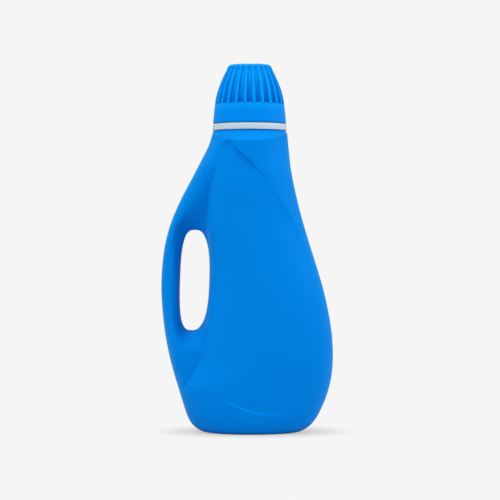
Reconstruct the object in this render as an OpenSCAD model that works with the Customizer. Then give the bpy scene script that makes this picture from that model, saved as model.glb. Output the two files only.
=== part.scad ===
// Laundry detergent bottle with a through handle, a pouring fitment and a fluted dosing cap.
// The neck axis is Z, the bottle stands on z = 0 and the handle lies toward -X.

/* [Body] */
// Height of the blown shoulder, where the neck begins
shoulder_z = 226.2; // [205:0.1:250]
// Reach of the handle side from the neck axis
left_reach = 67; // [62:0.5:76]
// Reach of the pouring side from the neck axis
right_reach = 63; // [58:0.5:72]
// Depth of the body, front to back
body_depth = 78; // [70:0.5:90]
// Radius of the round shoulder under the neck
shoulder_r = 27.9; // [26.5:0.1:29]
// Slope of the sloping shoulder below that, in degrees from upright
shoulder_slope = 33; // [28:1:45]
// Thickness of the blown wall
wall = 1.2; // [0.8:0.1:1.6]
// Rounding of the bottom corner
base_corner = 12; // [8:0.5:14]
// Width of the flat ring that the bottle stands on
standing_ring = 6; // [4:0.5:9]
// Rise of the hollow middle of the base
push_up = 3; // [2:0.5:5]

/* [Handle] */
// Depth of the handle at the grip, front to back
grip_depth = 27; // [22:0.5:32]
// Height of the lower end of the finger hole
hole_bottom = 76.5; // [70:0.5:85]
// Height of the upper end of the finger hole
hole_top = 152.5; // [140:0.5:158]
// Width of the finger hole
hole_w = 21.8; // [19:0.2:24]
// Height over which the pocket above the hole deepens to the handle
web_up = 30; // [24:1:36]
// Height of the scooped ledge below the hole
web_down = 12; // [9:0.5:16]
// Rounding of the handle's outer edge
grip_round = 8; // [6:0.5:9]

/* [Front panel] */
// Depth of the recessed front and back panels
panel_recess = 1.2; // [0.4:0.1:1.5]
// Depth of the panels under the tip of the pouring flank
tip_recess = 2.6; // [1.5:0.1:3.2]
// Height of the lowest point of the panel edge
panel_foot = 14.5; // [11:0.5:18]
// Height of the sloping ledge along the panel's lower edge
ledge = 1.8; // [1:0.1:3]
// Width of the rolled edge between flank and panel
roll_w = 2; // [1.4:0.1:3]

/* [Neck] */
// Outer radius of the neck
neck_r = 22; // [20:0.1:22.6]
// Thickness of the neck
neck_wall = 1.6; // [1.2:0.1:2.2]
// Height of the neck above the shoulder
neck_h = 15; // [12:0.5:17]
// Height of the bead that holds the fitment
bead = 0.6; // [0.4:0.1:0.8]
// Depth of the bead below the neck's rim
bead_drop = 4; // [3:0.5:6]

/* [Pouring fitment] */
// Radius of the visible collar
collar_r = 27.9; // [27:0.1:28.5]
// Height of the visible collar
collar_h = 4.8; // [4:0.1:7]
// Width of the sloping edge on top of the collar
collar_edge = 0.9; // [0.5:0.1:1.2]
// Thickness of the fitment's walls
fit_wall = 1.4; // [1:0.1:1.8]
// Outer radius of the pouring spout
spout_r = 11; // [9:0.5:12.5]
// Height of the spout's tip above the rim of the fitment
spout_rise = 20; // [14:0.5:21]
// Slope of the spout's mouth
spout_slope = 35; // [25:1:45]
// Width of the slot that lets drips run back
drain_w = 7; // [5:0.5:9]
// Drop of the drip tray below the rim
tray_drop = 12; // [9:0.5:14]
// Fall of the drip tray toward the spout
tray_fall = 3; // [2:0.5:5]

/* [Dosing cap] */
// Outer radius of the cap's smooth lower band
cap_r = 27.7; // [27.5:0.1:28.6]
// Height of the cap
cap_h = 44.6; // [43:0.1:52]
// Height of the smooth lower band
band_h = 14.1; // [11:0.1:16]
// Taper of the smooth lower band
band_taper = 1.4; // [0.6:0.1:2]
// Radius of the cap's flat top
cap_top_r = 13.5; // [11:0.1:15]
// Rounding of the cap's top edge
cap_edge = 3.6; // [2:0.1:4.5]
// Number of flutes
flutes = 24; // [16:1:30]
// Depth of a flute at its lower end
flute_depth = 2.8; // [1.5:0.1:3]
// Depth of a flute at the top
flute_top = 1; // [0.5:0.1:1.2]
// Rise of the ribs' ends above the cap's flat top
crown = 0.4; // [0.2:0.1:0.8]
// Width of the rib between two flutes
rib_w = 1.5; // [0.8:0.1:2]
// Height of the ledge at the foot of a flute
flute_foot = 1.2; // [0.6:0.1:2]
// Height of the thread on the fitment's skirt
thread_h = 1.4; // [1:0.1:1.6]
// Thickness of the cap's wall
cap_wall = 1.5; // [1.2:0.1:1.7]
// Width of the washer's seat on the fitment's rim
seal_grip = 2.5; // [1.5:0.1:3]
// Thickness of the sealing washer
seal_t = 1.5; // [1:0.1:2]

/* [Fits] */
// Gap between pieces that are pressed together
press_gap = 0.1; // [0.05:0.05:0.2]
// Gap between pieces that move on each other
run_gap = 0.3; // [0.2:0.05:0.5]

/* [Hidden] */
$fn = 96;
blue = [0.00, 0.50, 0.89];
grey = [0.74, 0.78, 0.81];

// Heights that the stacked pieces share
shoulder_top = shoulder_z + wall;
neck_top = shoulder_top + neck_h;
collar_z = shoulder_top + run_gap;
rim_z = neck_top + press_gap + fit_wall;
cap_z = collar_z + collar_h + run_gap;
seat_z = rim_z + run_gap + seal_t;
cap_top = cap_z + cap_h;
ring_z = cap_z + band_h;

// Radii that the fitment and the cap share
bore_r = neck_r - neck_wall;
skirt_in = neck_r + press_gap;
skirt_out = skirt_in + fit_wall;
plug_out = bore_r - press_gap;
plug_in = plug_out - fit_wall;

// Half depths of the body and of the handle
half_d = body_depth / 2;
grip_d = grip_depth / 2;

// Columns of the blown skin across the handle, each side of the valley, the panel and the flank
handle_n = 6;
valley_n = 2;
panel_n = 11;
flank_n = 11;
split_c = handle_n + valley_n;
body_c = split_c + valley_n;
panel_c = body_c + panel_n;
col_n = panel_c + flank_n;

// Edge of the handle side: share of the height, share of the reach
left_edge = [
    [0, 0.643], [0.064, 0.715], [0.126, 0.78], [0.206, 0.865], [0.285, 0.93], [0.365, 0.973],
    [0.485, 1], [0.604, 0.97], [0.689, 0.9], [0.768, 0.79], [0.848, 0.65], [0.928, 0.51], [0.958, 0.46],
    [0.98, 0.437], [1, 0.42]];

// Edge of the pouring side: share of the height, share of the reach
right_edge = [
    [0, 0.724], [0.044, 0.8], [0.106, 0.905], [0.181, 0.98], [0.255, 1], [0.325, 0.987], [0.405, 0.942],
    [0.485, 0.876], [0.564, 0.79], [0.644, 0.7], [0.724, 0.617], [0.803, 0.549], [0.883, 0.494],
    [0.93, 0.478], [0.962, 0.466], [1, 0.455]];

// Half depth of the body: share of the height, share of the half depth
depth_line = [
    [0, 0.9], [0.1, 0.96], [0.25, 1], [0.42, 1], [0.58, 0.96], [0.75, 0.9], [0.9, 0.86], [1, 0.83]];

// Half depth of the handle: share of the height, share of the half depth beyond the grip
handle_line = [
    [0, 0.3], [0.135, 0.27], [0.205, 0.24], [0.285, 0.18], [0.365, 0.06], [0.485, 0], [0.605, 0.03],
    [0.705, 0.12], [0.785, 0.25], [0.865, 0.4], [0.935, 0.53], [1, 0.55]];

// Edge of the body toward the handle: share of the height, share of the handle side's reach
body_line = [
    [0.06, 0.95], [0.1, 0.88], [0.144, 0.776], [0.188, 0.651], [0.212, 0.6], [0.235, 0.561], [0.257, 0.545],
    [0.275, 0.54], [0.338, 0.519], [0.405, 0.484], [0.529, 0.448], [0.626, 0.466], [0.675, 0.49],
    [0.722, 0.485], [0.771, 0.464], [0.811, 0.443], [0.837, 0.415], [0.87, 0.387], [0.896, 0.364],
    [0.922, 0.319], [0.945, 0.252], [0.962, 0.216], [1, 0.2]];

// Edge of the handle toward the body: share of the height, share of the handle side's reach
grip_line = [
    [0.1, 0.86], [0.212, 0.82], [0.285, 0.797], [0.338, 0.79], [0.405, 0.785], [0.529, 0.787],
    [0.626, 0.761], [0.675, 0.74], [0.715, 0.694], [0.744, 0.642], [0.781, 0.56], [0.808, 0.507],
    [0.837, 0.455], [0.87, 0.415], [0.922, 0.343], [0.962, 0.25], [1, 0.24]];

// Edge of the flank on the front: share of the height, share of the pouring side's reach
flank_line = [
    [0, 0.41], [0.096, 0.603], [0.206, 0.746], [0.365, 0.81], [0.48, 0.762], [0.604, 0.643], [0.679, 0.532],
    [0.736, 0.416], [0.79, 0.298], [0.838, 0.183], [0.873, 0.084], [0.903, -0.016], [0.928, -0.124],
    [0.962, -0.226], [0.98, -0.16], [1, -0.08]];

// Depth of the panel under the flank: share of the height, share of the tip's depth
tip_line = [
    [0.35, 0], [0.5, 0.04], [0.62, 0.08], [0.72, 0.13], [0.8, 0.2], [0.85, 0.3], [0.89, 0.75], [0.92, 1],
    [0.955, 1], [0.966, 0], [1, 0]];

function mix(a, b, t) = a + (b - a) * t;
function ramp(a, b, v) = let (t = min(1, max(0, (v - a) / (b - a)))) t * t * (3 - 2 * t);

// Slope of a smooth curve at its point i
function slope(p, i) =
    let (a = max(i - 1, 0), b = min(i + 1, len(p) - 1))
    (p[b][1] - p[a][1]) / (p[b][0] - p[a][0]);

// Value at t of a smooth curve through the points p, each one [t, value]
function curve(p, t, i = 0) =
    i < len(p) - 2 && t > p[i + 1][0] ? curve(p, t, i + 1) :
    let (
        w = p[i + 1][0] - p[i][0],
        u = min(1, max(0, (t - p[i][0]) / w)),
        a = slope(p, i) * w,
        b = slope(p, i + 1) * w
    )
    p[i][1] * (2 * u * u * u - 3 * u * u + 1) + a * (u * u * u - 2 * u * u + u)
    + p[i + 1][1] * (3 * u * u - 2 * u * u * u) + b * (u * u * u - u * u);

// Pull-in of the rounded bottom corner at height z above the floor
function corner(z) = z >= base_corner ? 0 : base_corner - sqrt(base_corner ^ 2 - (base_corner - z) ^ 2);

// Radius of the sloping shoulder at height z, for a skin that lies t inside
function cone_r(z, t) = shoulder_r - t + (shoulder_z - z) * tan(shoulder_slope);

// Reach to both sides and half depths at height z, for a skin that lies t inside
function left_x(z, t) =
    max(t + corner(z) - left_reach * curve(left_edge, z / shoulder_z), -cone_r(z, t));
function right_x(z, t) =
    min(right_reach * curve(right_edge, z / shoulder_z) - corner(z) - t, cone_r(z, t));
function body_y(z, t) = half_d * curve(depth_line, z / shoulder_z) - corner(z) / 2 - t;
function handle_y(z, t) =
    min(grip_d + (half_d - grip_d) * curve(handle_line, z / shoulder_z), body_y(z, 0) * 0.97) - t;

// Lines that the skin's columns follow, each at least a small step from the next
step = hole_w / 7;
function flank_x(z, t) = min(right_reach * curve(flank_line, z / shoulder_z), right_x(z, t) - 2 * step);
function body_edge(z, t) = max(t - left_reach * curve(body_line, z / shoulder_z), left_x(z, t));
function handle_edge(z, t) =
    max(-t - left_reach * curve(grip_line, z / shoulder_z), left_x(z, t) + step / 2);
function valley_x(z) =
    (handle_edge(z, 0) + max(body_edge(z, 0), left_x(z, 0) + 1.5 * step)) / 2;

// Roundness of the finger hole's outline: 2 is an ellipse
hole_e = 2.8;

// Lower and upper end of the finger hole, grown by a wall t
function hole_low(t) = hole_bottom - 3 * t;
function hole_high(t) = hole_top + 3 * t;

// Half width of the grown hole at height z, and the distance of z above or below it
function hole_half(z, t) =
    let (s = abs(2 * z - hole_low(t) - hole_high(t)) / (hole_high(t) - hole_low(t)))
    s > 1 - 1e-6 ? 0 : (hole_w / 2 + t) * (1 - s ^ hole_e) ^ (1 / hole_e);
function hole_away(z, t) = max(hole_low(t) - z, z - hole_high(t), 0);

// Rise of a rounded edge that is w wide, at the distance d from it
function rounded(d, w) = d >= w ? 1 : d <= 0 ? 0 : sqrt(1 - (1 - d / w) ^ 2);

// Half depth of the handle and its web: they grow out of the rim of the finger hole
function web_y(x, z, t) =
    let (
        half = (hole_high(t) - hole_low(t)) / 2,
        across = abs(x - valley_x(z)) / (hole_w / 2 + t),
        up = abs(z - (hole_high(t) + hole_low(t)) / 2) / half,
        above = ramp((hole_bottom + hole_top) / 2, hole_top, z),
        full = (1 + mix(web_down, web_up, above) / half) ^ hole_e - 1,
        rise = sqrt(max(0, across ^ hole_e + up ^ hole_e - 1) / full),
        bend = mix(16, 6, ramp(hole_bottom - web_down, hole_bottom + web_down, z)),
        share = rise / (1 + rise ^ bend) ^ (1 / bend),
        outer = mix(grip_round, body_edge(z, t) - left_x(z, t), ramp(hole_top, hole_top + web_up, z))
    )
    handle_y(z, t) * share * rounded(x - left_x(z, t), max(grip_round, outer));

// Place where the body's oval begins, so that it meets the web at the body's edge
oval_e = 0.62;
function body_start(z, t) =
    let (
        edge = body_edge(z, t),
        w = min(0.9, web_y(edge, z, t) / body_y(z, t)),
        q = (1 - sqrt(1 - w ^ (2 / oval_e))) / 2
    )
    (edge - q * right_x(z, t)) / (1 - q);

// Share of a plain oval in the section: all of it at the shoulder
function plain(z) = ramp(0.85, 0.965, z / shoulder_z);

// Depth of the panel at the point x of the section at height z
function recess(x, z) =
    let (
        h = z / shoulder_z,
        near = right_reach / 12,
        fade = ramp(near, flank_x(z, 0), x) * ramp(0.62, 0.42, h),
        low = panel_recess * ramp(0.9, 0.7, h) * ramp(-left_reach / 2, -left_reach / 6, x) * (1 - fade),
        tip = tip_recess * curve(tip_line, h) * ramp(-hole_w / 2, 0, x - body_edge(z, 0))
    )
    max(low, tip);

// Half depth at the point x of an oval from a to b that is d deep
function lobe(x, a, b, d) =
    let (q = min(1, max(0, (x - a) / (b - a))))
    d * sqrt(4 * q * (1 - q)) ^ oval_e;

// Half depth of the section at height z, at the point x, without the sloping shoulder
function section_y(x, z, t, in_panel) =
    let (
        xl = left_x(z, t),
        xr = right_x(z, t),
        lobes = x < body_edge(z, t) ? web_y(x, z, t) : lobe(x, body_start(z, t), xr, body_y(z, t)),
        mid = (xl + xr) / 2,
        half = (xr - xl) / 2,
        oval = body_y(z, t) * sqrt(max(0, 1 - ((x - mid) / half) ^ 2))
    )
    mix(lobes, oval, plain(z)) - (in_panel ? recess(x, z) : 0);

// Place across the section of column c, on the handle side or the body side of the finger hole
function column_x(z, c, t, on_handle) =
    let (
        xl = left_x(z, t),
        xr = right_x(z, t),
        h = hole_half(z, t),
        v = valley_x(z),
        f = flank_x(z, t),
        he = max(min(handle_edge(z, t), v - h - step / 3), xl + step / 2),
        be = min(max(body_edge(z, t), v + h + step / 3, xl + 1.5 * step), f - 2 * step)
    )
    on_handle && c <= handle_n ? mix(xl, he, (1 - cos(150 * c / handle_n)) / (1 - cos(150))) :
    on_handle ? mix(he, v - h, (c - handle_n) / valley_n) :
    c <= body_c ? mix(v + h, be, (c - split_c) / valley_n) :
    c <= panel_c ? let (i = c - body_c) mix(be, f, mix(1 - cos(90 * i / panel_n), i / panel_n, 0.35)) :
    mix(f + roll_w, xr, sin(90 * (c - panel_c - 1) / (flank_n - 1)));

// Rise of the panel's lower edge from its lowest point, by column
function edge_rise(c) =
    let (x = column_x(panel_foot, c, 0, c < split_c) - 0.27 * right_reach)
    min(panel_foot, x * x / (1.9 * right_reach));

// Height of the lower edge of the sloping shoulder, by column
slope_z = 0.965 * shoulder_z;
function slope_edge(c) =
    let (
        x = column_x(slope_z, c, 0, c < split_c),
        y = c == 0 || c == col_n ? 0 : section_y(x, slope_z, 0, false),
        drop = (sqrt(x * x + y * y) - shoulder_r) / tan(shoulder_slope)
    )
    shoulder_z - min(12, max(1.2, drop));

// Row height z shifted so that one row follows the panel's lower edge and one the shoulder's
function row_z(z, c) =
    z <= panel_foot ? z + edge_rise(c) * (z / panel_foot) ^ 2 :
    z < hole_bottom ? z + edge_rise(c) * (hole_bottom - z) / (hole_bottom - panel_foot) :
    z <= hole_top ? z :
    z <= slope_z ? mix(hole_top, slope_edge(c), (z - hole_top) / (slope_z - hole_top)) :
    mix(slope_edge(c), shoulder_z, (z - slope_z) / (shoulder_z - slope_z));

// One point of the front half of the blown skin
function skin_point(z0, c, t, on_handle) =
    let (
        z = t > 0 ? z0 : row_z(z0, c),
        x = column_x(z, c, t, on_handle),
        in_panel = c <= panel_c && z0 > panel_foot,
        edge = c == 0 || c == col_n || (c == split_c && hole_away(z, t) < 1e-6),
        slope_y = sqrt(max(0, cone_r(z, t) ^ 2 - x * x)),
        y = edge ? 0 : min(section_y(x, z, t, in_panel), slope_y)
    )
    [x, -y, z];

// Row heights from the base to the shoulder, denser at the base corner and at the ends of the hole
function rows(t, floor_z, n_base, n_low, n_hole, n_high, n_slope) =
    let (low = hole_low(t), high = hole_high(t), start = t > 0 ? panel_foot : panel_foot + ledge)
    concat(
        [for (i = [0:n_base]) mix(floor_z, panel_foot, (i / n_base) ^ 1.6)],
        t > 0 ? [] : [start],
        [for (i = [1:n_low]) mix(low, start, (1 - i / n_low) ^ 1.3)],
        [for (i = [1:n_hole]) mix(low, high, (1 - cos(180 * i / n_hole)) / 2)],
        [for (i = [1:n_high]) mix(high, slope_z, (i / n_high) ^ 1.1)],
        [for (i = [1:n_slope]) mix(slope_z, shoulder_z, i / n_slope)]);

// Front points of a row: the handle's columns, then the body's, which both begin at the valley
row_n = col_n + 2;
function front(z, t) = concat(
    [for (c = [0:split_c]) skin_point(z, c, t, true)],
    [for (c = [split_c:col_n]) skin_point(z, c, t, false)]);
function full_row(pts) = concat(pts, [for (p = pts) [p[0], -p[1], p[2]]]);

// A row of the base: the lowest row drawn in by w and set to height z
function base_row(w, z) =
    let (mid = (left_x(0, 0) + right_x(0, 0)) / 2, half = (right_x(0, 0) - left_x(0, 0)) / 2)
    [for (p = front(0, 0)) [mid + (p[0] - mid) * (1 - w / half), p[1] * (1 - w / body_y(0, 0)), z]];

outer_z = rows(0, 0, 6, 14, 18, 20, 2);
inner_z = rows(wall, push_up + wall, 3, 7, 10, 10, 1);
outer_n = len(outer_z) + 2;
inner_n = len(inner_z);

// Heights of all rows, with the two rows of the base first and the inner skin's rows last
row_heights = concat([0, 0], outer_z, inner_z);
skin_points = concat(
    full_row(base_row(standing_ring + push_up, push_up)),
    full_row(base_row(standing_ring, 0)),
    [for (z = outer_z) each full_row(front(z, 0))],
    [for (z = inner_z) each full_row(front(z, wall))]);

// State of a row at the valley: 0 closed, 1 an end of the finger hole, 2 open
row_state = [for (i = [0:len(row_heights) - 1])
    let (t = i < outer_n ? 0 : wall, z = row_heights[i])
    hole_half(z, t) > 0 ? 2 : hole_away(z, t) < 1e-6 ? 1 : 0];

// Number of the point in row i at place q of its front or back half
function at(i, q, back) =
    let (
        p = q == split_c + 1 && row_state[i] < 2 ? split_c : q,
        parting = p == 0 || p == row_n - 1 || (row_state[i] > 0 && (p == split_c || p == split_c + 1))
    )
    i * 2 * row_n + (back && !parting ? row_n : 0) + p;

// Faces between rows i and j, seen from outside where out is true
function strip(i, j, out) = [
    for (q = [0:row_n - 2], back = [false, true])
        if (q != split_c)
            let (f = [at(i, q, back), at(j, q, back), at(j, q + 1, back), at(i, q + 1, back)])
            back == out ? [f[3], f[2], f[1], f[0]] : f];

// Face that closes row i
function lid(i) = concat(
    [for (q = [0:row_n - 1]) if (q != split_c + 1) at(i, q, false)],
    [for (q = [row_n - 2:-1:1]) if (q != split_c + 1) at(i, q, true)]);

skin_faces = concat(
    [lid(0)],
    [for (i = [0:outer_n - 2]) each strip(i, i + 1, true)],
    strip(outer_n - 1, outer_n + inner_n - 1, true),
    [for (i = [outer_n:outer_n + inner_n - 2]) each strip(i, i + 1, false)],
    [[for (k = lid(outer_n)) k]]);

// Radius of the flat shoulder ring, and height of the bead on the neck
flange_r = shoulder_r - wall / 3;
bead_z = neck_top - bead_drop;

// Ridge of height h around the neck at radius r
module bead_ring(r, h) {
    rotate_extrude() polygon([[r - h, bead_z - 2 * h], [r + h, bead_z], [r - h, bead_z + 2 * h]]);
}

module bottle() {
    color(blue) union() {
        polyhedron(points = skin_points, faces = skin_faces);
        rotate_extrude() polygon([
            [bore_r, shoulder_z], [flange_r, shoulder_z], [flange_r, shoulder_top],
            [neck_r, shoulder_top], [neck_r, neck_top], [bore_r, neck_top]]);
        bead_ring(neck_r, bead);
    }
}

// Height of the drip tray at the plug wall, and at the spout
collar_top = collar_z + collar_h;
tray_z = rim_z - tray_drop;
tray_low = tray_z - tray_fall;
tip_z = rim_z + spout_rise;
spout_bore = spout_r - fit_wall;

module pour_spout() {
    color(grey) difference() {
        union() {
            rotate_extrude() polygon([
                [collar_r, collar_z], [collar_r, collar_top - collar_edge],
                [collar_r - collar_edge, collar_top], [skirt_out, collar_top], [skirt_out, rim_z],
                [plug_in, rim_z], [plug_in, tray_z], [spout_r, tray_low],
                [spout_r, tray_low - fit_wall], [plug_out, tray_z - fit_wall],
                [plug_out, neck_top + press_gap], [skirt_in, neck_top + press_gap], [skirt_in, collar_z],
                [skirt_out, collar_z], [skirt_out, collar_top - fit_wall],
                [collar_r - fit_wall, collar_top - fit_wall], [collar_r - fit_wall, collar_z]]);
            difference() {
                rotate_extrude() polygon([
                    [spout_bore, tray_low - fit_wall], [spout_r + press_gap, tray_low - fit_wall],
                    [spout_r, tip_z], [spout_bore, tip_z]]);
                translate([spout_r, 0, tip_z]) rotate([0, -spout_slope, 0])
                    translate([-4 * spout_r, -2 * spout_r, 0])
                        cube([8 * spout_r, 4 * spout_r, 2 * spout_rise]);
            }
        }
        translate([-1.6 * spout_r, -drain_w / 2, tray_low]) cube([spout_r, drain_w, 2 * spout_rise]);
        bead_ring(neck_r + press_gap, bead);
    }
}

// Places in the cap's profile: radius, height, depth of the flutes and the way they cut in, in degrees
edge_r = cap_top_r + cap_edge;
band_r = cap_r - band_taper;
flute_h = cap_h - band_h - cap_edge;
function flute_at(s) =
    [mix(band_r, edge_r, s ^ 1.6), ring_z + s * flute_h, mix(flute_depth, flute_top, s), 0];
function edge_at(a) =
    [cap_top_r + cap_edge * cos(a), cap_top - cap_edge * (1 - sin(a)), mix(flute_top, crown, a / 90), a];
cap_rows = concat(
    [[cap_r, cap_z, 0, 0], [mix(cap_r, band_r, 0.45), mix(cap_z, ring_z, 0.5), 0, 0]],
    [[band_r, ring_z, 0, 0]],
    [for (i = [0:7]) flute_at(mix(flute_foot / flute_h, 1, i / 7))],
    [for (i = [1:4]) edge_at(90 * i / 4)],
    [[cap_top_r - cap_edge, cap_top - crown, 0, 0]]);

// Places across one flute, from rib to rib, and half the angle that a flute takes at radius r
flute_places = [-1, -0.9, -0.7, -0.4, 0, 0.4, 0.7, 0.9, 1];
flute_n = len(flute_places);
function flute_span(r) = (180 - rib_w / r * 90 / PI * flutes) / flutes;
cap_n = flutes * flute_n;

function cap_row(p) = [
    for (k = [0:flutes - 1], u = flute_places)
        let (
            a = -90 + k * 360 / flutes + u * flute_span(p[0]),
            cut = p[2] * (1 - u ^ 4),
            r = p[0] - cut * cos(p[3])
        )
        [r * cos(a), r * sin(a), p[1] - cut * sin(p[3])]];

cap_points = [for (p = cap_rows) each cap_row(p)];
cap_faces = concat(
    [[for (k = [0:cap_n - 1]) k]],
    [for (i = [0:len(cap_rows) - 2], k = [0:cap_n - 1])
        let (n = (k + 1) % cap_n, a = i * cap_n, b = a + cap_n)
        [a + k, b + k, b + n, a + n]],
    [[for (k = [cap_n - 1:-1:0]) (len(cap_rows) - 1) * cap_n + k]]);

// Radii inside the cap: round the thread, and above the washer's seat
thread_r = skirt_out + thread_h + run_gap;
cup_r = skirt_out - seal_grip;
cup_top = cap_top - crown - cap_wall;
cup_top_r = cap_top_r - cap_wall / 2;
function cup_at(s) = let (p = flute_at(s)) [min(cup_r, p[0] - p[2] - cap_wall), p[1]];

module dosing_cap() {
    color(blue) difference() {
        polyhedron(points = cap_points, faces = cap_faces);
        rotate_extrude() polygon([
            [0, cap_z - 1], [thread_r, cap_z - 1], [thread_r, seat_z], [cup_r, seat_z],
            for (i = [1:4]) cup_at(0.23 * i), [cup_top_r, cup_top], [0, cup_top]]);
    }
}

module cap_seal() {
    color(grey) difference() {
        translate([0, 0, seat_z - seal_t]) cylinder(h = seal_t, r = thread_r - run_gap);
        translate([0, 0, seat_z - seal_t - 1]) cylinder(h = seal_t + 2, r = cup_r);
    }
}

bottle();
pour_spout();
dosing_cap();
cap_seal();
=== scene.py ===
# %% [markdown]
# # A laundry bottle with a fluted dosing cap
#
# The imported CAD model comes in first, as a fixed frame: four pieces at their real size, in metres, with the
# neck on the Z axis and the floor at z = 0. Everything below dresses those pieces, and nothing moves them.
# The box of the bare CAD model is kept.

# %% Load the frame
import math

import bmesh
import bpy
from mathutils import Matrix, Vector


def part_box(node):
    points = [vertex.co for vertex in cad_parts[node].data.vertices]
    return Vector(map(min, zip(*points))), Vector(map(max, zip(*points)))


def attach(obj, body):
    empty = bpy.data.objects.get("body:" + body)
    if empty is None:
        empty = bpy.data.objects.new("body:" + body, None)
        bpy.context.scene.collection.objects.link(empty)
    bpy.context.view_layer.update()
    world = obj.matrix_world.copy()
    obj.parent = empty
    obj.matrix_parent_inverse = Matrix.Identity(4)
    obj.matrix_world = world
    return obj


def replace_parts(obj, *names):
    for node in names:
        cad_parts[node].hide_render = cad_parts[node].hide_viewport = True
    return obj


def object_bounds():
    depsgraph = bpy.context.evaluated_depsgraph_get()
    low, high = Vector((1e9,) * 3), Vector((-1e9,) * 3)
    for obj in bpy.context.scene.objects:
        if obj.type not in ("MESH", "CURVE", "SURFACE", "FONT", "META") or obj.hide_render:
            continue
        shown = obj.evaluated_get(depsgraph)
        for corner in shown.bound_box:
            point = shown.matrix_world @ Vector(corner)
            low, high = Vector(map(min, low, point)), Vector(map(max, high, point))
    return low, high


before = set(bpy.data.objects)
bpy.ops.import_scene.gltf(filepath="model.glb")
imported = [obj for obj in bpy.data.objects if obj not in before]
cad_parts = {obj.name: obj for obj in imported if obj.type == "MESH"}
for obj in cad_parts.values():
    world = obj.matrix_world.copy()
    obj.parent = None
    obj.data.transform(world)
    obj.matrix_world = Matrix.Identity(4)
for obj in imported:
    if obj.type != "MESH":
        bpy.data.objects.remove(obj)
cad_box = [list(corner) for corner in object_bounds()]
MM = 0.001
print("nodes:", sorted(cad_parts), "box:", cad_box)

# %% [markdown]
# ## From triangles to a surface that can be smoothed
#
# A CAD node arrives as loose triangles. Smoothing wants a net of four-sided faces that run with the form,
# so a copy is merged at its corners and its triangles are joined in pairs. Edges that turn sharply keep
# some of their sharpness through a crease value, and all the others melt into one soft surface.


# %% Copy a node as a quad net
SAME_POINT = 0.004 * MM
QUAD_SKEW = math.radians(80)


def new_piece(name, net, material):
    """A new object at the origin from a bmesh, smooth shaded, with one material."""
    mesh = bpy.data.meshes.new(name)
    net.to_mesh(mesh)
    net.free()
    mesh.materials.append(material)
    mesh.polygons.foreach_set("use_smooth", [True] * len(mesh.polygons))
    piece = bpy.data.objects.new(name, mesh)
    bpy.context.scene.collection.objects.link(piece)
    return piece


def quad_copy(node, name, material, face_angle):
    """A new object with the node's mesh, merged at its corners.

    Triangles are joined to quads where they turn by less than face_angle, in degrees.
    """
    net = bmesh.new()
    net.from_mesh(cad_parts[node].data)
    bmesh.ops.remove_doubles(net, verts=net.verts, dist=SAME_POINT)
    bmesh.ops.dissolve_degenerate(net, edges=net.edges, dist=SAME_POINT)
    bmesh.ops.join_triangles(
        net, faces=net.faces, angle_face_threshold=math.radians(face_angle),
        angle_shape_threshold=QUAD_SKEW)
    for face in net.faces:
        face.material_index = 0
    piece = new_piece(name, net, material)
    quads = sum(len(face.vertices) == 4 for face in piece.data.polygons)
    print(name, "faces:", len(piece.data.polygons), "quads:", quads)
    return piece


def crease_sharp_edges(piece, from_angle, to_angle, most, split_angle=180):
    """Creases edges by how far they turn, in degrees.

    The crease grows from none at from_angle to the most at to_angle. Past split_angle the shading breaks too.
    """
    net = bmesh.new()
    net.from_mesh(piece.data)
    layer = net.edges.layers.float.get("crease_edge") or net.edges.layers.float.new("crease_edge")
    for edge in net.edges:
        turn = math.degrees(edge.calc_face_angle(0))
        edge[layer] = most * min(1, max(0, (turn - from_angle) / (to_angle - from_angle)))
        edge.smooth = turn < split_angle
    net.to_mesh(piece.data)
    net.free()


def subdivide(piece, levels):
    """A live subdivision surface with the same level in view and render."""
    smooth = piece.modifiers.new("subdivision", "SUBSURF")
    smooth.levels = smooth.render_levels = levels


# %% [markdown]
# ## Satin plastic
#
# Blown and moulded polyethylene has a waxy satin face: a broad, weak mirror, a very fine grain from the
# mould, and a colour that drifts a little with the thickness of the wall. One recipe serves every plastic
# piece. The colour drift, the roughness and the grain all come from noise on Object coordinates. The mirror
# is tinted, because so deep a blue gives back hardly any red even in its highlights.


# %% Satin plastic recipe
DRIFT_SCALE, GLOSS_SCALE, GRAIN_SCALE = 18, 60, 1400
ROUGH_SPREAD = 0.05
SHEEN_ROUGHNESS = 0.4
SEAM_HALF_WIDTH = 0.45 * MM


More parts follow.
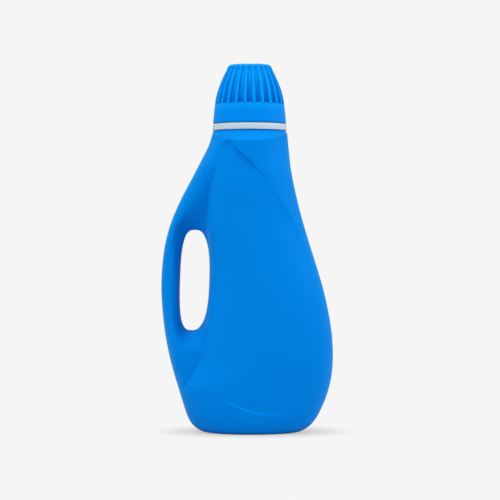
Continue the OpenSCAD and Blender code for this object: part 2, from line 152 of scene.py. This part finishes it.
def satin_plastic(name, colour, deep, rough, grain, gloss, sheen, tint, seam=0):
    """A satin plastic that drifts from colour to deep, with a grain and a parting seam of given depths."""
    material = bpy.data.materials.new(name)
    material.use_nodes = True
    nodes, links = material.node_tree.nodes, material.node_tree.links
    shader = nodes["Principled BSDF"]
    shader.inputs["Specular IOR Level"].default_value = gloss
    shader.inputs["Specular Tint"].default_value = (*tint, 1)
    shader.inputs["Sheen Weight"].default_value = sheen
    shader.inputs["Sheen Roughness"].default_value = SHEEN_ROUGHNESS
    shader.inputs["Sheen Tint"].default_value = (*tint, 1)
    place = nodes.new("ShaderNodeTexCoord").outputs["Object"]

    def noise(scale, detail):
        node = nodes.new("ShaderNodeTexNoise")
        node.inputs["Scale"].default_value = scale
        node.inputs["Detail"].default_value = detail
        links.new(place, node.inputs["Vector"])
        return node.outputs["Fac"]

    def spread(value, low, high, source=(0, 1)):
        node = nodes.new("ShaderNodeMapRange")
        node.inputs["From Min"].default_value, node.inputs["From Max"].default_value = source
        node.inputs["To Min"].default_value, node.inputs["To Max"].default_value = low, high
        links.new(value, node.inputs["Value"])
        return node.outputs["Result"]

    def bump(height, depth, before=None):
        node = nodes.new("ShaderNodeBump")
        node.inputs["Strength"].default_value = 1
        node.inputs["Distance"].default_value = depth
        links.new(height, node.inputs["Height"])
        if before:
            links.new(before, node.inputs["Normal"])
        return node.outputs["Normal"]

    drift = nodes.new("ShaderNodeMix")
    drift.data_type = "RGBA"
    drift.inputs[6].default_value = (*deep, 1)
    drift.inputs[7].default_value = (*colour, 1)
    links.new(noise(DRIFT_SCALE, 2), drift.inputs["Factor"])
    links.new(drift.outputs[2], shader.inputs["Base Color"])
    roughness = spread(noise(GLOSS_SCALE, 3), rough - ROUGH_SPREAD, rough + ROUGH_SPREAD)
    links.new(roughness, shader.inputs["Roughness"])

    normal = bump(noise(GRAIN_SCALE, 2), grain)
    if seam:
        across = nodes.new("ShaderNodeSeparateXYZ")
        links.new(place, across.inputs["Vector"])
        away = nodes.new("ShaderNodeMath")
        away.operation = "ABSOLUTE"
        links.new(across.outputs["Y"], away.inputs[0])
        normal = bump(spread(away.outputs[0], 1, 0, (0, SEAM_HALF_WIDTH)), seam, normal)
    links.new(normal, shader.inputs["Normal"])
    return material


CYAN, COOL_WHITE, WHITE = (0.0, 1.0, 0.8), (0.9, 0.95, 1), (1, 1, 1)
bottle_blue = satin_plastic(
    "bottle_blue", colour=(0.0, 0.172, 0.665), deep=(0.0, 0.162, 0.63), rough=0.55, grain=0.01 * MM,
    gloss=0.06, sheen=0.12, tint=CYAN, seam=0.12 * MM)
cap_blue = satin_plastic(
    "cap_blue", colour=(0.0, 0.19, 0.75), deep=(0.0, 0.18, 0.715), rough=0.5, grain=0.008 * MM,
    gloss=0.07, sheen=0.1, tint=CYAN)
# The fitment is white plastic. Its base colour is a darker blue grey, with painted shade and painted blue
# reflections in it.
fitment_grey = satin_plastic(
    "fitment_grey", colour=(0.46, 0.52, 0.65), deep=(0.44, 0.50, 0.625), rough=0.45, grain=0.008 * MM,
    gloss=0.4, sheen=0, tint=COOL_WHITE)
seal_white = satin_plastic(
    "seal_white", colour=(0.80, 0.80, 0.78), deep=(0.74, 0.74, 0.72), rough=0.8, grain=0.03 * MM,
    gloss=0.2, sheen=0, tint=WHITE)
print("materials:", [m.name for m in bpy.data.materials])

# %% [markdown]
# ## The blown bottle
#
# The body, the hollow handle and the neck are one blown wall. The CAD net already runs along the form: one
# line of it follows the flank's rolled edge, one the body's edge beside the handle, one the panel's lower
# ledge and one the sloping shoulder. A subdivision surface over that net gives the soft blown skin, and
# creases and hard edges keep those lines crisp. The mould closed on the plane y = 0, so a fine seam runs
# round there.

# %% Bottle
bottle = quad_copy("bottle", "bottle_skin", bottle_blue, 50)
crease_sharp_edges(bottle, from_angle=10, to_angle=30, most=0.9, split_angle=22)
subdivide(bottle, 1)
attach(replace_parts(bottle, "bottle"), "bottle_body")

# %% [markdown]
# ## The dosing cap
#
# The cap is moulded, so its ribs are finer than the blown body's edges. The same net and crease steps
# leave the ribs and the ledge at the foot of each flute clear, and round them only by a hair. Shade in the
# flutes and light on the thin ribs are painted into the colour from two occlusion counts: rays to the
# outside meet walls in a flute, which gets painted shade, and rays to the inside soon leave a thin rib, which
# gets a painted highlight.

# %% Cap
# Reach and full strength of the painted flute shade and the painted rib highlight.
FLUTE_REACH, RIB_REACH = 4 * MM, 1.6 * MM
FULL_FLUTE_SHADE, FULL_RIB_HIGHLIGHT, CLEAR = 0.55, 0.4, 0.95
RAYS = 16


def paint_flute_shade_and_rib_highlight(material, painted_groove_shade, painted_rib_highlight):
    """Paints shade into the colour where the shape closes in, and paints a highlight where the shape is thin.
    """
    nodes, links = material.node_tree.nodes, material.node_tree.links
    base = nodes["Principled BSDF"].inputs["Base Color"]
    for inside, span, colour, low in (
            (False, FLUTE_REACH, painted_groove_shade, FULL_FLUTE_SHADE), (True, RIB_REACH, painted_rib_highlight, FULL_RIB_HIGHLIGHT)):
        rays = nodes.new("ShaderNodeAmbientOcclusion")
        rays.inside, rays.only_local, rays.samples = inside, True, RAYS
        rays.inputs["Distance"].default_value = span
        share = nodes.new("ShaderNodeMapRange")
        share.inputs["From Min"].default_value = low
        share.inputs["From Max"].default_value = CLEAR
        links.new(rays.outputs["AO"], share.inputs["Value"])
        painted_tone = nodes.new("ShaderNodeMix")
        painted_tone.data_type = "RGBA"
        painted_tone.inputs[6].default_value = (*colour, 1)
        links.new(share.outputs["Result"], painted_tone.inputs["Factor"])
        links.new(base.links[0].from_socket, painted_tone.inputs[7])
        links.new(painted_tone.outputs[2], base)


# The groove colour is painted shade for the flutes, and the rib colour is a painted highlight on the ribs.
paint_flute_shade_and_rib_highlight(cap_blue, painted_groove_shade=(0.0, 0.08, 0.44), painted_rib_highlight=(0.0, 0.34, 0.76))
cap = quad_copy("dosing_cap", "cap_shell", cap_blue, 50)
crease_sharp_edges(cap, from_angle=16, to_angle=40, most=0.9)
subdivide(cap, 2)
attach(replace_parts(cap, "dosing_cap"), "cap_body")


# %% [markdown]
# ## Fitment and washer
#
# Turned shapes keep their CAD mesh. A moulded edge is never knife sharp, so a small bevel rounds each one,
# and it catches a thin line of light.

# %% Fitment and washer
ROUND_FROM = math.radians(30)
ROUND_STEPS = 3


def soften_edges(piece, width):
    """Rounds every edge that turns by more than ROUND_FROM."""
    round_off = piece.modifiers.new("rounded_edges", "BEVEL")
    round_off.width = width
    round_off.segments = ROUND_STEPS
    round_off.limit_method = "ANGLE"
    round_off.angle_limit = ROUND_FROM
    round_off.harden_normals = True


collar = quad_copy("pour_spout", "collar_and_spout", fitment_grey, 1)
soften_edges(collar, 0.35 * MM)
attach(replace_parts(collar, "pour_spout"), "bottle_body")

washer = quad_copy("cap_seal", "seal_washer", seal_white, 1)
soften_edges(washer, 0.25 * MM)
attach(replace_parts(washer, "cap_seal"), "seal_body")

# %% [markdown]
# ## Screw threads
#
# Two ridges climb round the fitment's skirt and two round the inside of the cap, as on a quick two-start
# closure. A small round section is spun round the neck axis and lifted a little at each step. The radii come
# from the CAD meshes. Both threads are drawn lower than full depth, so they clear each other in every pose.


# %% Threads
SAME_HEIGHT = 0.05 * MM
WASHER_GAP = 0.3 * MM
OFF_WALL = 0.05 * MM
SKIRT_START, CAP_START = 2 * MM, 4 * MM


def radii(node, height):
    """Radii of the node's corners that lie at the given height."""
    corners = (v.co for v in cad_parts[node].data.vertices)
    return [math.hypot(c.x, c.y) for c in corners if abs(c.z - height) < SAME_HEIGHT]


def thread(name, radius, foot, material):
    """Two ridges with a round section on the given radius, half a turn apart, that climb from foot."""
    section, sides, lead, turn, steps = 0.55 * MM, 10, 8 * MM, math.radians(290), 60
    net = bmesh.new()
    for start in (0, math.pi):
        upright = Matrix.Translation((radius, 0, foot)) @ Matrix.Rotation(math.pi / 2, 4, "X")
        upright = Matrix.Rotation(start, 4, "Z") @ upright
        disc = bmesh.ops.create_circle(
            net, cap_ends=True, segments=sides, radius=section, matrix=upright)["verts"]
        faces = list({face for v in disc for face in v.link_faces})
        edges = list({edge for v in disc for edge in v.link_edges})
        bmesh.ops.spin(
            net, geom=disc + edges + faces, axis=(0, 0, 1), angle=turn, steps=steps,
            dvec=(0, 0, lead * turn / math.tau / steps))
    bmesh.ops.recalc_face_normals(net, faces=net.faces)
    piece = new_piece(name, net, material)
    print(name, "faces:", len(piece.data.polygons))
    return piece


cap_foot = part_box("dosing_cap")[0].z
cap_radius = min(radii("dosing_cap", cap_foot))
skirt_radius = max(radii("pour_spout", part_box("cap_seal")[0].z - WASHER_GAP))
print("thread radii:", skirt_radius, cap_radius)

skirt_thread = thread("skirt_thread", skirt_radius + OFF_WALL, cap_foot + SKIRT_START, fitment_grey)
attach(skirt_thread, "bottle_body")
cap_thread = thread("cap_thread", cap_radius - OFF_WALL, cap_foot + CAP_START, cap_blue)
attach(cap_thread, "cap_body")

# %% [markdown]
# ## Floor, light and camera
#
# The floor and the world show the camera one even pale grey. The floor's shadow is painted: it darkens only
# where the bottle shades it, by an occlusion count, and for every other ray it is a plain pale surface. A
# wide soft light hangs above, and two weaker ones stand to the right and the left, so that whatever turns up
# or sideways is lighter than the front.

# %% Floor
PALE = 0.913
FLOOR_HALF = 4
FLOOR_TONE = (0.7, 0.7, 0.7, 1)
SHADOW_REACH, SHADOW_LEVEL = 0.03, 0.55
floor_net = bmesh.new()
bmesh.ops.create_grid(floor_net, x_segments=1, y_segments=1, size=FLOOR_HALF)
paper = bpy.data.materials.new("floor_paper")
new_piece("floor", floor_net, paper)

paper.use_nodes = True
nodes, links = paper.node_tree.nodes, paper.node_tree.links
matte = nodes["Principled BSDF"]
matte.inputs["Base Color"].default_value = FLOOR_TONE
matte.inputs["Roughness"].default_value = 1
matte.inputs["Specular IOR Level"].default_value = 0
# Painted shadow: the occlusion count darkens the pale grey that the floor shows the camera.
shade = nodes.new("ShaderNodeAmbientOcclusion")
shade.samples = RAYS
shade.inputs["Distance"].default_value = SHADOW_REACH
level = nodes.new("ShaderNodeMapRange")
level.inputs["To Min"].default_value = PALE * SHADOW_LEVEL
level.inputs["To Max"].default_value = PALE
links.new(shade.outputs["AO"], level.inputs["Value"])
glow = nodes.new("ShaderNodeEmission")
links.new(level.outputs["Result"], glow.inputs["Strength"])
path = nodes.new("ShaderNodeLightPath")
pick = nodes.new("ShaderNodeMixShader")
links.new(path.outputs["Is Camera Ray"], pick.inputs["Fac"])
links.new(matte.outputs["BSDF"], pick.inputs[1])
links.new(glow.outputs["Emission"], pick.inputs[2])
links.new(pick.outputs["Shader"], nodes["Material Output"].inputs["Surface"])

# %% World and lamps
AMBIENT = 0.40
world = bpy.data.worlds.new("studio")
bpy.context.scene.world = world
world.use_nodes = True
nodes, links = world.node_tree.nodes, world.node_tree.links
path = nodes.new("ShaderNodeLightPath")
strength = nodes.new("ShaderNodeMapRange")
strength.inputs["To Min"].default_value = AMBIENT
strength.inputs["To Max"].default_value = PALE
links.new(path.outputs["Is Camera Ray"], strength.inputs["Value"])
links.new(strength.outputs["Result"], nodes["Background"].inputs["Strength"])
nodes["Background"].inputs["Color"].default_value = (1, 1, 1, 1)


def soft_lamp(name, place, target, size, power, tint=WHITE):
    """A square area lamp at place that faces target."""
    data = bpy.data.lights.new(name, "AREA")
    data.size = size
    data.energy = power
    data.color = tint
    lamp = bpy.data.objects.new(name, data)
    lamp.location = place
    lamp.rotation_euler = (Vector(target) - Vector(place)).to_track_quat("-Z", "Y").to_euler()
    bpy.context.scene.collection.objects.link(lamp)


middle = (Vector(cad_box[0]) + Vector(cad_box[1])) / 2
soft_lamp("top_light", (-0.05, -0.2, 1.3), middle, size=1.1, power=16, tint=(0.8, 1, 0.65))
soft_lamp("right_light", (1.1, -0.25, 0.75), middle, size=0.8, power=9.5)
soft_lamp("left_light", (-0.85, -0.75, 0.9), middle, size=0.8, power=8.8)

# %% Camera
EYE_Z = 148 * MM
EYE_AWAY = 1.65
SENSOR, LENS = 36, 157
SHIFT_X, SHIFT_Y = 0.0008, -0.0285
camera = bpy.data.objects.new("camera", bpy.data.cameras.new("camera"))
camera.data.sensor_width = SENSOR
camera.data.lens = LENS
camera.data.shift_x = SHIFT_X
camera.data.shift_y = SHIFT_Y
camera.location = (0, -EYE_AWAY, EYE_Z)
camera.rotation_euler = (math.radians(90), 0, 0)
bpy.context.scene.collection.objects.link(camera)
bpy.context.scene.camera = camera
bpy.context.scene.view_settings.view_transform = "Standard"
